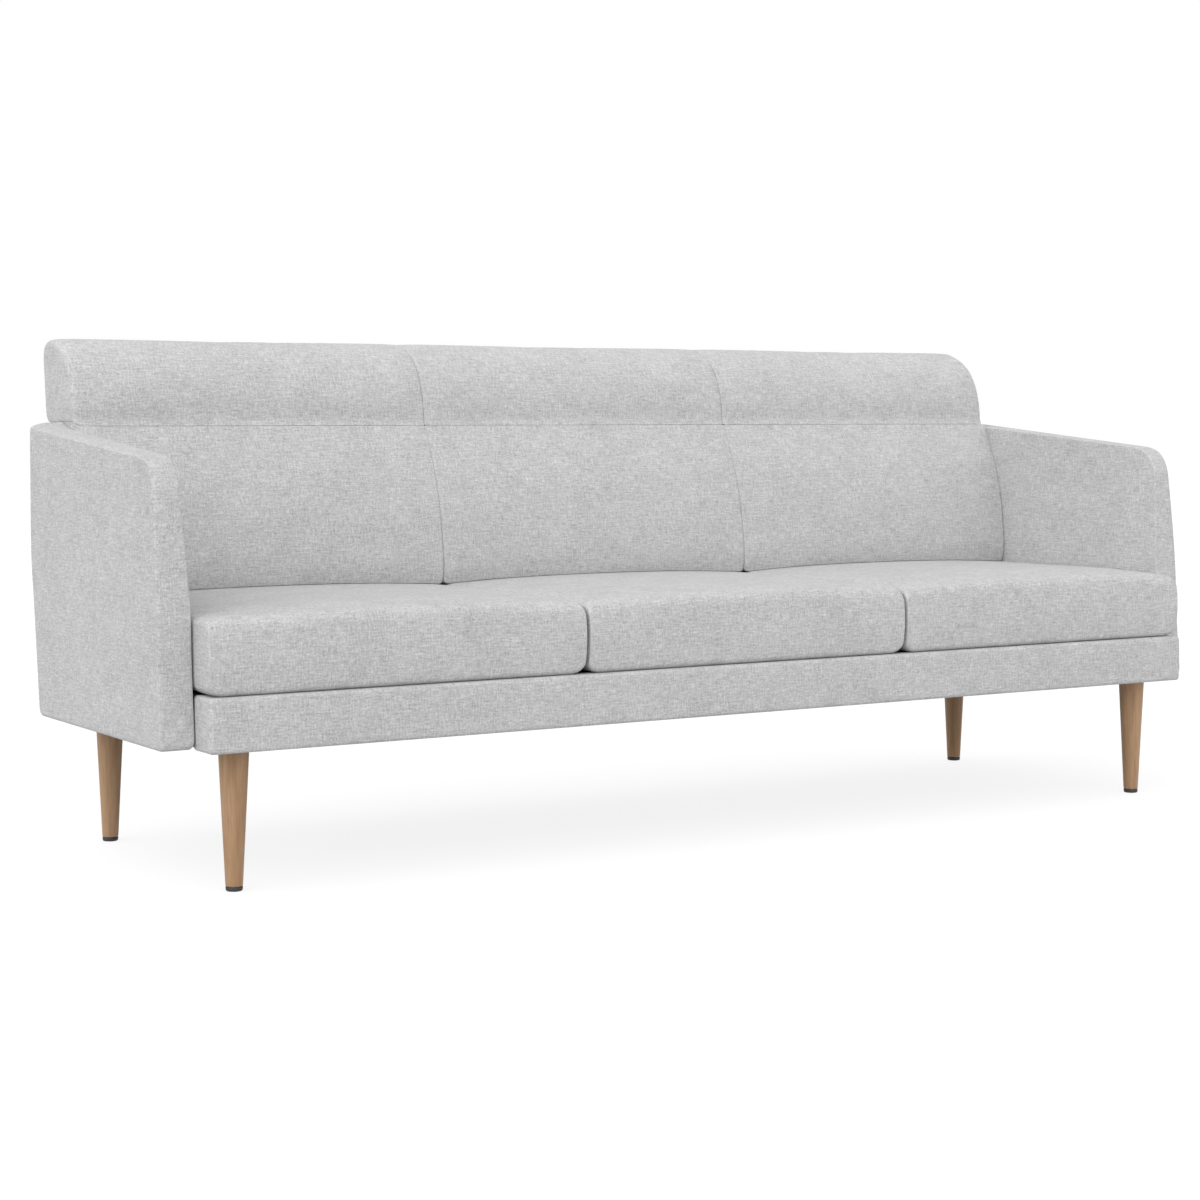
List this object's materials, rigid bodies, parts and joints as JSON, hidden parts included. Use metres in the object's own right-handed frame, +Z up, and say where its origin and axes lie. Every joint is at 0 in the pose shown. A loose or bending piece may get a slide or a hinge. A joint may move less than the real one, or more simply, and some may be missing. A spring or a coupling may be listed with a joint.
{
  "type": "three seat sofa",
  "caption": "Upholstered sofa on tapered wooden legs, with thin arms, loose box seat cushions and a row of round-fronted head cushions above the back.",
  "frame": {"origin": "on the floor, at the centre of the footprint of the whole sofa", "axes": "+X along the sofa, to the right as seen from the front; -Y towards the front; +Z up"},
  "size_m": [2.1, 0.73, 0.852],
  "materials": {
    "upholstery": "light grey melange wool weave",
    "oak": "satin oiled, upright grain",
    "frame_timber": "planed, unfinished",
    "webbing": "woven elastic strap",
    "deck_cloth": "black non-woven cloth",
    "steel": "zinc plated",
    "black_plastic": "matt black"
  },
  "bodies": {
    "sofa": {"arm_bolts": "steel", "arm_cover_left": "upholstery", "arm_cover_right": "upholstery", "arm_frame_left": "frame_timber", "arm_frame_right": "frame_timber", "back_bolts": "steel", "back_bottom_rail": "frame_timber", "back_cushion_left": "upholstery", "back_cushion_middle": "upholstery", "back_cushion_right": "upholstery", "back_facing_left": "upholstery", "back_facing_right": "upholstery", "back_mid_rails": "frame_timber", "back_post_1": "frame_timber", "back_post_2": "frame_timber", "back_post_3": "frame_timber", "back_post_4": "frame_timber", "back_top_rail": "frame_timber", "back_webbing": "webbing", "base_cover": "upholstery", "corner_blocks": "frame_timber", "cross_rail_1": "frame_timber", "cross_rail_2": "frame_timber", "dust_cover": "deck_cloth", "front_rail": "frame_timber", "glides": "black_plastic", "head_cushion_left": "upholstery", "head_cushion_middle": "upholstery", "head_cushion_right": "upholstery", "leg_bolts": "steel", "leg_plates": "steel", "legs_front": "oak", "legs_rear": "oak", "outside_back": "upholstery", "rear_battens": "frame_timber", "rear_rail": "frame_timber", "seat_deck": "deck_cloth", "side_rail_left": "frame_timber", "side_rail_right": "frame_timber", "webbing_front_to_back": "webbing", "webbing_side_to_side": "webbing"},
    "seat_left": {"seat_cushion_left": "upholstery"},
    "seat_middle": {"seat_cushion_middle": "upholstery"},
    "seat_right": {"seat_cushion_right": "upholstery"}
  },
  "joints": [
    {"name": "seat_left_slide", "type": "slide", "parent": "sofa", "child": "seat_left", "axis": [0, -1, 0], "range_m": [0, 0.26]},
    {"name": "seat_middle_slide", "type": "slide", "parent": "sofa", "child": "seat_middle", "axis": [0, -1, 0], "range_m": [0, 0.26]},
    {"name": "seat_right_slide", "type": "slide", "parent": "sofa", "child": "seat_right", "axis": [0, -1, 0], "range_m": [0, 0.26]}
  ]
}
